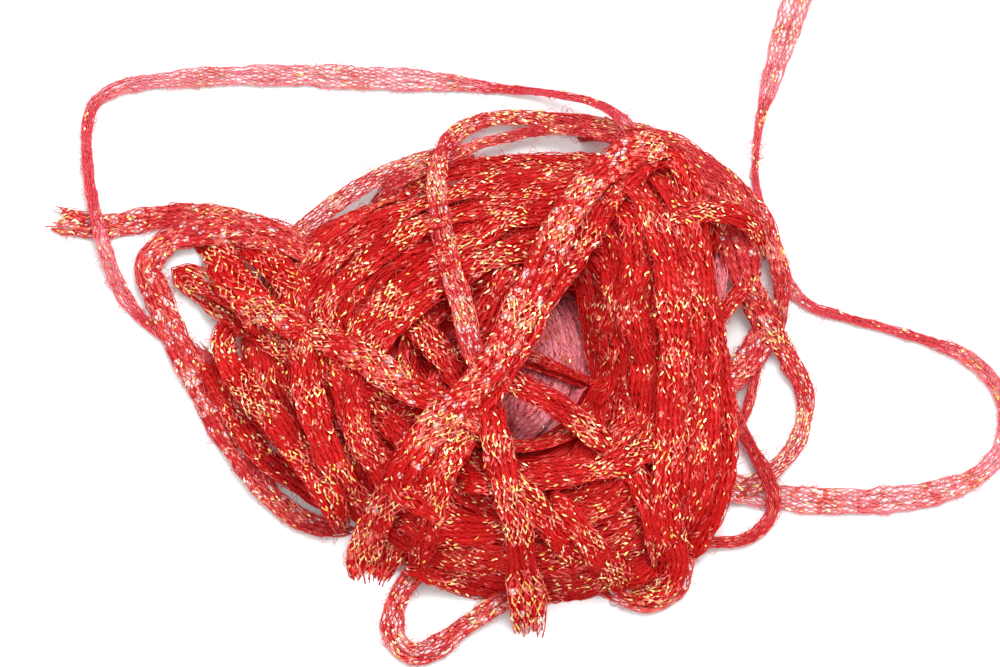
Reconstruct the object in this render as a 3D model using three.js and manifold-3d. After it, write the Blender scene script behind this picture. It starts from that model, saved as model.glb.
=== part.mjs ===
// Loose hank of flat net braid trim, as it fell on a table.
// A low ring of many turns, main lengths thrown across it, one free loop and two free ends.
// Millimetres, +Z up, the table at z = 0, the origin under the middle of the whole part.

import * as THREE from "three";
import { mergeVertices } from "three/addons/utils/BufferGeometryUtils.js";
import Module from "manifold-3d";

// Driving dimensions
const BRAID_WIDTH = 8; // one length lying flat
const BRAID_THICKNESS = 1.6; // springy open net with the fuzz of its edges
const CLEARANCE = 0.3; // between a free length and the hank
const STATION = 7; // between the steps of one length
const CORNER = 0.25; // share of a length's section that is rounded off

const RING_CENTRE = { x: 0, y: -16 };
const RING_STEPS = 64; // round the hank
const CREST_STEPS = 36; // over the hank, from its outside to its hole
const BASE_STEPS = 4; // back along the table
const CREST_FULLNESS = 0.55; // 1 is a sine arch, less is a flatter top with steeper sides
const RIDGE_HEIGHT = 2.4; // of one turn above the dip beside it
const RIDGE_COUNT = 6; // turns that show side by side across the hank
const SPIRAL = 1; // turns that the winding moves inwards in one round

const BRAID_LOOK = { color: 0xc4202c, roughness: 0.55, metalness: 0.15 };

// The wound ring: one row every 30 degrees, anticlockwise from +X.
const RING = [
  { inner: 21, outer: 61, height: 20 },
  { inner: 20, outer: 73, height: 22 },
  { inner: 21, outer: 84, height: 20 },
  { inner: 20, outer: 74, height: 17 },
  { inner: 17, outer: 70, height: 19 },
  { inner: 13, outer: 78, height: 17 },
  { inner: 11, outer: 89, height: 18 },
  { inner: 14, outer: 82, height: 17 },
  { inner: 19, outer: 74, height: 20 },
  { inner: 24, outer: 69, height: 21 },
  { inner: 24, outer: 72, height: 20 },
  { inner: 22, outer: 66, height: 18 },
];

// How the turns wander from side to side on their way round, in turns.
const WANDER = [
  { waves: 1, reach: 0.55, start: 0.4 },
  { waves: 2, reach: 0.4, start: 2.1 },
  { waves: 5, reach: 0.22, start: 5.0 },
];

// The main lengths that lie across the ring or hang out over its sides.
// spread is 1 for one length lying flat; each place that it passes through is [x, y, z].
const LENGTHS = [
  { name: "diagonal", spread: 1.15, through: [
    [42, 47, 8], [23, 33, 21], [10, 12, 24], [-4, -13, 25], [-14, -32, 25], [-28, -45, 23], [-49, -75, 4],
  ] },
  { name: "diagonal_beside", spread: 1.15, through: [
    [38, 44, 9], [27, 30, 21], [6, 0, 23], [-10, -28, 23], [-27, -51, 20], [-41, -76, 4],
  ] },
  { name: "hoop", spread: 1, through: [
    [33, 50, 9], [0, 62, 3], [-15, 60, 3.5], [-27, 39, 16], [-22, 3, 22], [-10, -28, 23],
  ] },
  { name: "hoop_tail", spread: 1.15, through: [
    [-10, -28, 23], [-10, -49, 24], [-4, -70, 18], [0, -91, 2],
  ] },
  { name: "left_fold", spread: 1.4, through: [
    [-101, 14, 3], [-74, -5, 14], [-40, -21, 20], [-14, -40, 21],
  ] },
  { name: "left_border", spread: 1, through: [
    [-56, 14, 11], [-84, 26, 6.5], [-98, 27, 3.6], [-110, 17, 3], [-108, 3, 3],
    [-95, -22, 1.6], [-79, -46, 1.2], [-61, -61, 2], [-50, -64, 5],
  ] },
  { name: "left_inner", spread: 1, through: [
    [-83, -19, 6], [-72, -32, 14], [-57, -51, 15], [-50, -64, 7],
  ] },
  { name: "left_upright", spread: 1, through: [
    [-67, 14, 6], [-63, -8, 18], [-56, -36, 19], [-49, -66, 6],
  ] },
  { name: "right_arc", spread: 1.15, through: [
    [42, 46, 8], [57, 31, 11], [59, 4, 10], [54, -37, 11], [36, -80, 3],
  ] },
  { name: "inner_arc", spread: 1.15, through: [
    [30, 28, 17], [38, -9, 22], [37, -47, 21], [34, -66, 18], [30, -83, 3],
  ] },
  { name: "lower_cross", spread: 1, through: [
    [-8, -52, 22], [5, -68, 18], [26, -84, 2.5],
  ] },
  { name: "right_loop", spread: 0.75, through: [
    [55, 14, 8], [68, 2, 5], [77, -19, 1.5], [72, -40, 2.2], [55, -50, 7],
  ] },
  { name: "right_thin_loop", spread: 0.5, through: [
    [51, -22, 9], [58, -37, 7], [66, -52, 4.5], [62, -64, 2.4], [42, -69, 6],
  ] },
  { name: "bottom_loop", spread: 0.75, through: [
    [-30, -72, 4], [-39, -88, 1.2], [-36, -98, 1.2], [-23, -95, 1.2], [-9, -82, 4],
  ] },
];

// Routes of the free lengths, [x, y, z, spread], from the cut end or from where each leaves the hank.
const LEFT_END = [
  [-135.5, 30.6, 1, 1], [-130, 29.6, 1, 1], [-124, 28.7, 1, 1], [-118, 29, 1, 0.95],
  [-112, 30.4, 1, 0.9], [-106, 31.5, 1, 0.9], [-100, 31.8, 1, 0.95], [-95, 31.5, 1.2, 1],
  [-90, 30.6, 1.8, 1], [-86, 29.6, 2.6, 1], [-82, 28.4, 3.4, 1], [-78, 26.8, 4.3, 1],
  [-74, 25, 5.2, 1], [-70, 23, 6, 1], [-66, 21, 6.4, 1],
];
const TOP_LOOP = [
  [31, 50, 10, 0.75], [25, 59, 10, 0.65], [17, 65.4, 6, 0.5], [5.4, 69.3, 3, 0.55],
  [-9, 71.7, 1, 0.75], [-23.4, 73.6, 1, 0.9], [-38, 74.6, 1, 0.9], [-52, 75.2, 1, 0.9],
  [-67, 75.8, 1, 0.9], [-81, 75.9, 1, 0.8], [-96, 75.2, 1, 0.75], [-110, 73.8, 1, 0.7],
  [-120.6, 71, 1, 0.65], [-126, 66.6, 1, 0.55], [-127.6, 59.4, 1, 0.5], [-127.4, 50.7, 1.2, 0.5],
  [-126.3, 40.8, 2.2, 0.5], [-124, 29.4, 3.2, 0.55], [-121, 19, 2.2, 0.65], [-117, 9, 1.1, 0.65],
  [-111.6, 1.2, 0.9, 0.55], [-105.5, -4.1, 0.9, 0.5], [-98.3, -8.6, 1, 0.5], [-90, -12.4, 1, 0.5],
  [-82, -15, 1.4, 0.5],
];
const RIGHT_END = [
  [45, -48, 6, 1], [55, -51, 2, 1], [65, -53.3, 1, 0.95], [76, -54.8, 1, 0.95],
  [89.5, -55.3, 1, 0.95], [103, -54.5, 1, 0.95], [115.7, -52, 1, 0.9], [125, -47.8, 1, 0.8],
  [131.4, -41, 1, 0.7], [134, -31.7, 1, 0.65], [131.3, -20, 1, 0.65], [123.4, -11.6, 1, 0.65],
  [112.5, -6.7, 1, 0.5], [100, -2.6, 1, 0.45], [87.7, 1, 1, 0.45], [78.5, 4.6, 1, 0.5],
  [73, 10.6, 1, 0.65], [70, 18.5, 1, 0.7], [67.5, 27, 1, 0.7], [65.2, 36, 1, 0.55],
  [64.2, 45, 1, 0.45], [64.6, 54, 1, 0.4], [66.6, 65, 1, 0.55], [69.7, 76, 1, 0.8],
  [73, 87.5, 1, 0.95], [76.4, 98, 1, 1], [78.2, 103.5, 1, 1],
];

const wasm = await Module();
wasm.setup();

// Height of the ring at one angle, from its hole (across = 0) to its outside (1), with the ridges of its turns.
function crestHeight(height, across, angle) {
  const arch = Math.sin(Math.PI * across) ** CREST_FULLNESS;
  const drift = WANDER.reduce(
    (sum, wave) => sum + wave.reach * Math.sin(wave.waves * angle + wave.start),
    (SPIRAL * angle) / (2 * Math.PI),
  );
  const dip = 0.5 + 0.5 * Math.cos(2 * Math.PI * (RIDGE_COUNT * across + drift));
  return arch * (height - RIDGE_HEIGHT * dip);
}

// The wound ring: a torus whose section is pulled to the ring table, and flat where it lies on the table.
function woundRing(grow) {
  const table = new THREE.CatmullRomCurve3(
    RING.map((row) => new THREE.Vector3(row.inner, row.outer, row.height)),
    true,
  );
  const sectionSteps = CREST_STEPS + BASE_STEPS;
  const torus = new THREE.TorusGeometry(1, 0.5, sectionSteps, RING_STEPS);
  const place = torus.attributes.position;
  for (let k = 0; k < place.count; k++) {
    const step = Math.floor(k / (RING_STEPS + 1)) % sectionSteps;
    const turn = (k % (RING_STEPS + 1)) % RING_STEPS;
    const angle = (2 * Math.PI * turn) / RING_STEPS;
    const row = table.getPoint(turn / RING_STEPS);
    const overCrest = step > 0 && step < CREST_STEPS;
    const across =
      step <= CREST_STEPS
        ? 0.5 + 0.5 * Math.cos((Math.PI * step) / CREST_STEPS)
        : (step - CREST_STEPS) / BASE_STEPS;
    const radius = THREE.MathUtils.lerp(row.x - grow, row.y + grow, across);
    place.setXYZ(
      k,
      RING_CENTRE.x + radius * Math.cos(angle),
      RING_CENTRE.y + radius * Math.sin(angle),
      overCrest ? crestHeight(row.z, across, angle) + grow : 0,
    );
  }
  return torus;
}

// One length of braid: a flat eight-sided strip bent along its route, [x, y, z, spread] at each place.
function laidBraid(route, grow) {
  const path = new THREE.CatmullRomCurve3(route.map(([x, y, z]) => new THREE.Vector3(x, y, z)));
  const spread = new THREE.CatmullRomCurve3(
    route.map((place, i) => new THREE.Vector3(i, place[3], 0)),
  );
  const section = new THREE.Shape(
    [
      [0.5, -CORNER], [0.5, CORNER], [0.5 - CORNER / 2, 0.5], [CORNER / 2 - 0.5, 0.5],
      [-0.5, CORNER], [-0.5, -CORNER], [CORNER / 2 - 0.5, -0.5], [0.5 - CORNER / 2, -0.5],
    ].map(([x, y]) => new THREE.Vector2(x, y)),
  );
  const steps = Math.max(route.length, Math.round(path.getLength() / STATION));
  const strip = new THREE.ExtrudeGeometry(section, { depth: 1, steps, bevelEnabled: false });
  const up = new THREE.Vector3(0, 0, 1);
  const corner = new THREE.Vector3();
  const place = strip.attributes.position;
  for (let k = 0; k < place.count; k++) {
    corner.fromBufferAttribute(place, k);
    const along = THREE.MathUtils.clamp(corner.z, 0, 1);
    const tangent = path.getTangent(along);
    const sideways = new THREE.Vector3().crossVectors(up, tangent).normalize();
    const lift = new THREE.Vector3().crossVectors(tangent, sideways);
    const width = BRAID_WIDTH * spread.getPoint(along).y + 2 * grow;
    const point = path
      .getPoint(along)
      .addScaledVector(sideways, corner.x * width)
      .addScaledVector(lift, corner.y * (BRAID_THICKNESS + 2 * grow));
    place.setXYZ(k, point.x, point.y, point.z);
  }
  return strip;
}

// A closed geometry as a solid that can be joined and cut.
function solidOf(geometry) {
  const bare = new THREE.BufferGeometry();
  bare.setAttribute("position", geometry.attributes.position);
  bare.setIndex(geometry.index);
  const merged = mergeVertices(bare);
  return new wasm.Manifold(
    new wasm.Mesh({
      numProp: 3,
      vertProperties: merged.attributes.position.array,
      triVerts: new Uint32Array(merged.index.array),
    }),
  );
}

// The hank: the ring with every main length fused to it.
function hankSolid(grow) {
  return LENGTHS.reduce((hank, { spread, through }) => {
    const route = through.map((place) => [...place, spread]);
    return hank.add(solidOf(laidBraid(route, grow)));
  }, solidOf(woundRing(grow)));
}

// A named mesh of red braid from a solid.
function braidMesh(name, solid) {
  const { vertProperties, triVerts } = solid.getMesh();
  const geometry = new THREE.BufferGeometry();
  geometry.setAttribute("position", new THREE.BufferAttribute(vertProperties, 3));
  geometry.setIndex(new THREE.BufferAttribute(triVerts, 1));
  geometry.computeVertexNormals();
  const mesh = new THREE.Mesh(geometry, new THREE.MeshStandardMaterial(BRAID_LOOK));
  mesh.name = name;
  return mesh;
}

// Each free length stops where it meets the hank, with the clearance between them.
const hank = hankSolid(0);
const hankRoom = hankSolid(CLEARANCE);
const freeLength = (route) => solidOf(laidBraid(route, 0)).subtract(hankRoom);

const part = new THREE.Group();
part.add(
  braidMesh("hank", hank),
  braidMesh("left_end", freeLength(LEFT_END)),
  braidMesh("top_loop", freeLength(TOP_LOOP)),
  braidMesh("right_end", freeLength(RIGHT_END)),
);

export default part;
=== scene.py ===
import math
from types import SimpleNamespace

import bpy
import numpy as np
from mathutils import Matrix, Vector


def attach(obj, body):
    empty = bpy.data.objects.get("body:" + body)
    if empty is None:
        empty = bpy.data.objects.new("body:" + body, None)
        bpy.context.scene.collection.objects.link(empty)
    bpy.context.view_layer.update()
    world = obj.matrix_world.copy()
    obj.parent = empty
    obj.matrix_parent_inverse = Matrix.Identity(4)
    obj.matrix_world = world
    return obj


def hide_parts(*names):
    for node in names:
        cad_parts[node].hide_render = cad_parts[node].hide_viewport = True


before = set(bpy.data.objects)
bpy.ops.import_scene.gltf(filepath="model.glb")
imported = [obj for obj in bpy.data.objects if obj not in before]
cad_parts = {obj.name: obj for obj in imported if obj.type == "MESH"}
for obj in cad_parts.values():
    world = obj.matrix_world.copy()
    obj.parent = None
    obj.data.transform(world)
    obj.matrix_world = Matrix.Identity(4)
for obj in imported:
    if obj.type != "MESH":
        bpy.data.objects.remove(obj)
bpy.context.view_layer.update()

# The camera
# It looks down on the table from the front, at the photograph's angle.
# The lens is chosen so that one pixel of a frame 1000 wide is 0.284 mm at the point looked at.
MM = 0.001
LOOKED_AT = Vector((-9 * MM, -4 * MM, 0))
CAMERA_ELEVATION = math.radians(68)
CAMERA_DISTANCE = 2000 * MM
FRAME_WIDTH_THERE = 284 * MM
SENSOR_WIDTH = 36

towards_camera = Vector((0, -math.cos(CAMERA_ELEVATION), math.sin(CAMERA_ELEVATION)))
camera_data = bpy.data.cameras.new("camera")
camera_data.sensor_width = SENSOR_WIDTH
camera_data.lens = SENSOR_WIDTH * CAMERA_DISTANCE / FRAME_WIDTH_THERE
camera = bpy.data.objects.new("camera", camera_data)
camera.location = LOOKED_AT + towards_camera * CAMERA_DISTANCE
camera.rotation_mode = "QUATERNION"
camera.rotation_quaternion = (-towards_camera).to_track_quat("-Z", "Y")
bpy.context.scene.collection.objects.link(camera)
bpy.context.scene.camera = camera

# The free lengths: a cut end at the left, a loop at the top and a long end at the right, held by the hank
# Flat tubular net, braided from fine red nylon yarns that zigzag from edge to edge over flat strands of
# filament, with short strips of gold film caught in the yarns and small slack loops of yarn at both edges.
BRAID_WIDTH = 8.0
CROSSING_PITCH = 1.6  # mm of braid between one row of crossings and the next
TABLE_TOUCH = 0.3  # mm above the table at which the lowest yarns' middles lie
TABLE_CLEARANCE = 0.02  # mm above the table at which the lowest faces end
TUBE_SIDES = 3
RED, ROSE, GOLD, PAINTED_PALE, BUNCHED = range(5)  # the places of the materials on a braided piece


def linear(hex_colour):
    """An sRGB hex colour as linear red, green, blue and alpha."""
    shares = [int(hex_colour[i : i + 2], 16) / 255 for i in (1, 3, 5)]
    return [s / 12.92 if s <= 0.04045 else ((s + 0.055) / 1.055) ** 2.4 for s in shares] + [1.0]


def add_node(tree, kind, **inputs):
    """A node with each of its inputs set to a value or linked to another node's socket."""
    node = tree.nodes.new(kind)
    for name, value in inputs.items():
        socket = node.inputs[name.replace("_", " ")]
        if isinstance(value, bpy.types.NodeSocket):
            tree.links.new(value, socket)
        else:
            socket.default_value = value
    return node


def new_material(name):
    """An empty node material and its tree."""
    material = bpy.data.materials.new(name)
    material.use_nodes = True
    material.node_tree.nodes.clear()
    return material, material.node_tree


def patchy_colour(tree, patch, stops, detail):
    """A colour that runs through its stops from patch to patch of a size, and the places it goes by."""
    where = add_node(tree, "ShaderNodeTexCoord").outputs["Object"]
    patches = add_node(tree, "ShaderNodeTexNoise", Vector=where, Scale=1 / patch, Detail=detail)
    ramp = add_node(tree, "ShaderNodeValToRGB", Fac=patches.outputs["Fac"])
    while len(ramp.color_ramp.elements) < len(stops):
        ramp.color_ramp.elements.new(1.0)
    for element, (place, colour) in zip(ramp.color_ramp.elements, stops):
        element.position = place
        element.color = linear(colour)
    return ramp.outputs["Color"], where


def plain_material(name, patch, stops, detail, **gloss):
    """A material with one kind of gloss and a colour that changes from patch to patch."""
    material, tree = new_material(name)
    colour, _ = patchy_colour(tree, patch, stops, detail)
    body = add_node(tree, "ShaderNodeBsdfPrincipled", Base_Color=colour, **gloss)
    add_node(tree, "ShaderNodeOutputMaterial", Surface=body.outputs["BSDF"])
    return material


# Dyed nylon yarn where it lies in one layer on the table: its pale rose red is painted light, standing in
# for the light that comes through it and back from the white below; it has little gloss of its own.
DYE_PATCH = 9 * MM
YARN_GRAIN = 0.7 * MM
GRAIN_DEPTH = 0.3 * MM
YARN_CLEARNESS = 0.35  # share of the light that goes through
FILAMENT_CLEARNESS = 0.3


def nylon(name, stops, clearness=YARN_CLEARNESS):
    """Dyed nylon that lets a share of the light through, its dye a little uneven along the yarn."""
    material, tree = new_material(name)
    dye, where = patchy_colour(tree, DYE_PATCH, stops, detail=3.0)
    grain = add_node(tree, "ShaderNodeTexNoise", Vector=where, Scale=1 / YARN_GRAIN, Detail=2.0)
    relief = add_node(
        tree, "ShaderNodeBump", Height=grain.outputs["Fac"], Strength=0.6, Distance=GRAIN_DEPTH
    )
    body = add_node(
        tree,
        "ShaderNodeBsdfPrincipled",
        Base_Color=dye,
        Roughness=0.4,
        IOR=1.53,
        Specular_IOR_Level=0.25,
        Normal=relief.outputs["Normal"],
    )
    glow = add_node(tree, "ShaderNodeBsdfTranslucent", Color=dye)
    mix = add_node(tree, "ShaderNodeMixShader", Fac=clearness)
    tree.links.new(body.outputs["BSDF"], mix.inputs[1])
    tree.links.new(glow.outputs["BSDF"], mix.inputs[2])
    add_node(tree, "ShaderNodeOutputMaterial", Surface=mix.outputs["Shader"])
    return material


single_nylon = nylon("red_nylon_in_one_layer", [(0.3, "#f87c88"), (0.52, "#fc909c"), (0.72, "#ffaab2")])

# The same yarn where a free length is drawn narrow and its yarns close up: a clear rose red, painted
# darker than one layer, since less of the table's light comes through.
bunched_nylon = nylon("red_nylon_closed_up", [(0.3, "#ea4652"), (0.52, "#f05662"), (0.72, "#f56a76")])

# The same yarn where a length hangs out of the hank or lies half on others: a clear bright red, painted
# lighter than the layers for the table's light that comes through.
lapped_nylon = nylon("red_nylon_half_lapped", [(0.3, "#dc2a30"), (0.52, "#e4383e"), (0.72, "#ec4e52")])

# The same yarn where turn lies on turn: less light comes back, so its deep glowing red is painted shade.
stacked_nylon = nylon("red_nylon_in_layers", [(0.3, "#d80e0e"), (0.52, "#e01613"), (0.72, "#e8241e")])

# The finest filaments inside a single length, painted almost white: painted light for the white table's
# light coming through them, which hides the net's shadow on the table.
painted_pale_filament = nylon("fine_filament_painted_pale", [(0.3, "#fcd8d8"), (0.7, "#fff0f0")], FILAMENT_CLEARNESS)

# The same nylon where the film inside the yarn shows through it: a light rose, partly painted sheen for
# yarns that catch the light, with a soft metal gloss.
ROSE_PATCH = 3 * MM
ROSES = [(0.3, "#d23a36"), (0.5, "#de5c51"), (0.7, "#ea8c7a")]
rose_nylon = plain_material(
    "nylon_over_film_and_painted_sheen", ROSE_PATCH, ROSES, detail=2.0, Metallic=0.1, Roughness=0.4
)

# Metallised polyester film, slit into strips: a gold that glints where it turns to the light; its pale
# cream is partly a painted glint, bright whichever way a strip turns.
FILM_PATCH = 2.5 * MM
GOLDS = [(0.3, "#e6a440"), (0.5, "#f2cc78"), (0.7, "#fdecc4")]
gold_film = plain_material(
    "gold_metallised_film", FILM_PATCH, GOLDS, detail=1.0, Metallic=0.4, Roughness=0.28
)


def unit(vectors):
    """Vectors of length one."""
    return vectors / np.linalg.norm(vectors, axis=-1, keepdims=True)


FEWEST_ROWS = 3


def evenly(curve):
    """A fine polyline in rows one crossing pitch apart along it."""
    lengths = np.linalg.norm(np.diff(curve[:, :3], axis=0), axis=1)
    run = np.concatenate([[0], np.cumsum(lengths)])
    rows = np.linspace(0, run[-1], max(FEWEST_ROWS, round(run[-1] / CROSSING_PITCH) + 1))
    return np.stack([np.interp(rows, run, column) for column in curve.T], axis=1)


STEPS_A_MM = 4


def laid(places):
    """A smooth route through given places, in rows one crossing pitch apart along it."""
    places = np.asarray(places, float)
    chords = np.linalg.norm(np.diff(places[:, :3], axis=0), axis=1)
    knots = np.concatenate([[0], np.cumsum(chords)])
    slopes = np.gradient(places, knots, axis=0)
    fine = np.linspace(0, knots[-1], int(knots[-1] * STEPS_A_MM))
    leg = np.clip(np.searchsorted(knots, fine, side="right") - 1, 0, len(chords) - 1)
    t = ((fine - knots[leg]) / chords[leg])[:, None]
    rise = slopes[leg] * chords[leg][:, None]
    fall = slopes[leg + 1] * chords[leg][:, None]
    return evenly(
        places[leg] * (1 + 2 * t) * (1 - t) ** 2
        + rise * t * (1 - t) ** 2
        + places[leg + 1] * t**2 * (3 - 2 * t)
        + fall * t**2 * (t - 1)
    )


WANDER_WAVES = (0.62, 1.0, 1.7)  # shares of a wave that don't fall into step


def wander(rng, rows, wave):
    """A smooth random run of numbers from -1 to 1, which turns about once in each wave of rows."""
    total = np.zeros(rows)
    for stretch in WANDER_WAVES:
        start = rng.uniform(0, 2 * math.pi)
        total += np.sin(2 * math.pi * np.arange(rows) / (wave * stretch) + start)
    return total / len(WANDER_WAVES)


def near_end(rows, reach):
    """How near each row is to an end of its length: 1 at both ends, and 0 beyond a reach from them."""
    row = np.arange(rows)
    from_end = CROSSING_PITCH * np.minimum(row, row[::-1])
    return np.clip(1 - from_end / reach, 0, 1) ** 2


def tubes(points, out, width, depth, looks):
    """Closed tubes along rows of points, their depth turned outwards, with the looks of all faces."""
    many, rows = points.shape[:2]
    heading = unit(np.gradient(points, axis=1))
    side = unit(np.cross(heading, out))
    top = np.cross(side, heading)
    points = points + np.maximum(TABLE_TOUCH - points[..., 2:], 0) * [0.0, 0.0, 1.0]
    turn = math.pi / 2 + 2 * math.pi * np.arange(TUBE_SIDES) / TUBE_SIDES
    ring = (
        side[:, :, None] * (np.cos(turn)[:, None] * width[:, :, None, None])
        + top[:, :, None] * (np.sin(turn)[:, None] * depth[:, :, None, None])
    )
    here = ((np.arange(many)[:, None] * rows + np.arange(rows - 1)) * TUBE_SIDES)[:, :, None]
    corner = np.arange(TUBE_SIDES)
    after = (corner + 1) % TUBE_SIDES
    walls = np.stack(
        [here + after, here + corner, here + TUBE_SIDES + corner, here + TUBE_SIDES + after], axis=-1
    )
    start = np.arange(many)[:, None] * rows * TUBE_SIDES + corner
    end = start[:, ::-1] + (rows - 1) * TUBE_SIDES
    return {
        "vertices": (points[:, :, None] + ring).reshape(-1, 3),
        "walls": walls.reshape(-1, 4),
        "ends": np.concatenate([start, end]),
        "wall_looks": np.repeat(looks.ravel(), TUBE_SIDES),
        "end_looks": np.concatenate([looks[:, 0], looks[:, -1]]),
    }


STRIP_TAPER = (0.15, 0.5, 0.15)  # half widths at a strip's ends and middle, as shares of its width


def strips(middle, heading, side, reach, width, looks):
    """Flat slit strips, each widest in the middle, in the form in which tubes come."""
    stations = middle[:, None] + heading[:, None] * (reach[:, None] * [-1, 0, 1])[..., None]
    stations[..., 2] = np.maximum(stations[..., 2], TABLE_TOUCH)
    edge = side[:, None] * (width[:, None] * STRIP_TAPER)[..., None]
    first = 2 * len(STRIP_TAPER) * np.arange(len(middle))
    halves = np.array([[0, 1, 3, 2], [2, 3, 5, 4]])
    return {
        "vertices": np.stack([stations - edge, stations + edge], axis=2).reshape(-1, 3),
        "walls": (first[:, None, None] + halves).reshape(-1, 4),
        "ends": np.empty((0, TUBE_SIDES), int),
        "wall_looks": np.repeat(looks, 2),
        "end_looks": np.empty(0, int),
    }


WIDTH_WAVE = 22  # waves are in rows of crossings
EDGE_WAVE = 7
EDGE_WAVER = 0.1
GLITTER_WAVE = 14
GLITTER_SWING = 2.2
GLITTER_RANGE = (0.08, 3)
FRAYED_LENGTH = 5


def braid_lay(rng, route, roll, slack):
    """How a length lies along its route: its directions, width, glitter and frayed ends, row by row."""
    rows = len(route)
    centre, spread = route[:, :3], route[:, 3]
    along = unit(np.gradient(centre, axis=0))
    level = unit(np.cross([0.0, 0.0, 1.0], along))
    upright = np.cross(along, level)
    tilt = (roll + np.zeros(rows))[:, None]
    swell = 1 + slack * wander(rng, rows, WIDTH_WAVE) + EDGE_WAVER * wander(rng, rows, EDGE_WAVE)
    return SimpleNamespace(
        rows=rows,
        run=np.linalg.norm(np.diff(centre, axis=0), axis=1).sum(),
        centre=centre,
        spread=spread,
        along=along,
        across=level * np.cos(tilt) + upright * np.sin(tilt),
        out=upright * np.cos(tilt) - level * np.sin(tilt),
        half_width=0.5 * BRAID_WIDTH * spread * swell,
        glitter=np.clip(1 + GLITTER_SWING * wander(rng, rows, GLITTER_WAVE), *GLITTER_RANGE),
        fray=near_end(rows, FRAYED_LENGTH),
    )


STRANDS = 5
STRAND_WIDTH = 2.4
STRAND_DEPTH = 0.3
STRAND_LANES = 0.7  # share of the half width over which the strands lie side by side
STRAND_WAVE = 18
STRAND_STRAY = 0.45
STRAND_WAVER = 0.15
STRAND_SINK = 0.3
STRAND_UNEVEN = (0.8, 1.2)
FRAY_REACH = 1.4
FRAY_THINNING = 0.7
PAINTED_PALE_POWER = 3  # the share of strands painted near white is this power of the share of pale ones
BUNCHED_STRANDS = 0.8


def backing_strands(rng, lay, pale, bunched):
    """The flat strands of filament under the net, painted paler where the table's light comes through them.
    """
    lane = np.linspace(-STRAND_LANES, STRAND_LANES, STRANDS)[:, None]
    stray = np.stack([wander(rng, lay.rows, STRAND_WAVE) for _ in range(2 * STRANDS)])
    points = lay.centre + (
        lay.across * (lane * lay.half_width + STRAND_STRAY * stray[:STRANDS])[..., None]
        + lay.out * (STRAND_WAVER * stray[STRANDS:] - STRAND_SINK)[..., None]
        + lay.along * (lay.fray * rng.normal(0, FRAY_REACH, (STRANDS, 1)))[..., None]
    )
    thinned = 1 - FRAY_THINNING * lay.fray
    own = rng.uniform(*STRAND_UNEVEN, (STRANDS, lay.rows))
    width = 0.5 * STRAND_WIDTH * lay.spread * thinned * own
    depth = np.full((STRANDS, lay.rows), STRAND_DEPTH / 2)
    chance = rng.random((STRANDS, lay.rows - 1))
    # Pale strands are painted light: near white or rose where the table's light would come through the
    # length.
    looks = np.select([chance < pale**PAINTED_PALE_POWER, chance < pale], [PAINTED_PALE, ROSE], RED)
    looks = np.where(rng.random(looks.shape) < BUNCHED_STRANDS * bunched, BUNCHED, looks)
    return tubes(points, lay.out, width, depth, looks)


YARNS = 12
YARN_WIDTH = 0.38
YARN_DEPTH = 0.22
YARN_UNEVEN = (0.55, 1.45)
OVER_UNDER = 0.11  # mm that a yarn rises or dips where it crosses another
STEEPEST = 0.5  # spread under which the crossings rise no further
NET_WAVE = 8
NET_DRIFT = 0.4
NET_JITTER = 0.15
NET_LIFT = 0.5
LOOSE_RANGE = (0.4, 1)
RAGGED_EDGE = 0.4
RAGGED_WAVES = (7, 9)  # of the left and right edge


def net_yarns(rng, lay, blush, bunched):
    """The yarns that zigzag from edge to edge and the two along the edges: their points and their tubes."""
    half = YARNS // 2
    row = np.arange(lay.rows)
    step = (row + 2 * np.arange(YARNS)[:, None]) % (2 * YARNS)
    rightward = step < YARNS
    place = np.where(rightward, step - half, 3 * half - step)
    loose = np.clip(lay.spread, *LOOSE_RANGE)
    # Each crossing is off its place sideways, upwards and lengthwise.
    drift = np.stack([wander(rng, lay.rows, NET_WAVE) for _ in range(3 * (YARNS + 1))], axis=1)
    jitter = rng.normal(0, NET_JITTER, (lay.rows, YARNS + 1, 3))
    uneven = (NET_DRIFT * drift.reshape(lay.rows, YARNS + 1, 3) + jitter)[row, place + half]
    ragged = RAGGED_EDGE * loose * np.stack([wander(rng, lay.rows, wave) for wave in RAGGED_WAVES])
    edges = np.stack([-lay.half_width, lay.half_width]) + ragged
    sideways = np.concatenate([place / half * lay.half_width + loose * uneven[..., 0], edges])
    rise = OVER_UNDER / np.clip(lay.spread, STEEPEST, 1)
    over = np.where((row % 2 == 0) == rightward, rise, -rise)
    height = np.concatenate([over + NET_LIFT * uneven[..., 1], np.zeros((2, lay.rows))])
    lengthwise = np.concatenate([uneven[..., 2], np.zeros((2, lay.rows))])
    lengthwise += lay.fray * rng.normal(0, FRAY_REACH, (YARNS + 2, 1))
    points = lay.centre + (
        lay.across * sideways[..., None] + lay.out * height[..., None] + lay.along * lengthwise[..., None]
    )
    # Yarn stretches in the rose look, partly painted sheen, come more often where the length glitters.
    looks = np.where(rng.random((YARNS + 2, lay.rows - 1)) < blush * lay.glitter[1:], ROSE, RED)
    looks = np.where(rng.random(looks.shape) < bunched, BUNCHED, looks)
    own = rng.uniform(*YARN_UNEVEN, (YARNS + 2, lay.rows))
    return points, tubes(points, lay.out, YARN_WIDTH * own / 2, YARN_DEPTH * own / 2, looks)


FLECKS_A_MM = 4.8
GOLD_SHARE = 0.48
FLECK_LIFT = (0.15, 0.4)
FLECK_TWIST = 0.4
FLECK_REACH = (0.3, 0.85)
FLECK_WIDTH = (0.35, 0.65)


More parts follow.
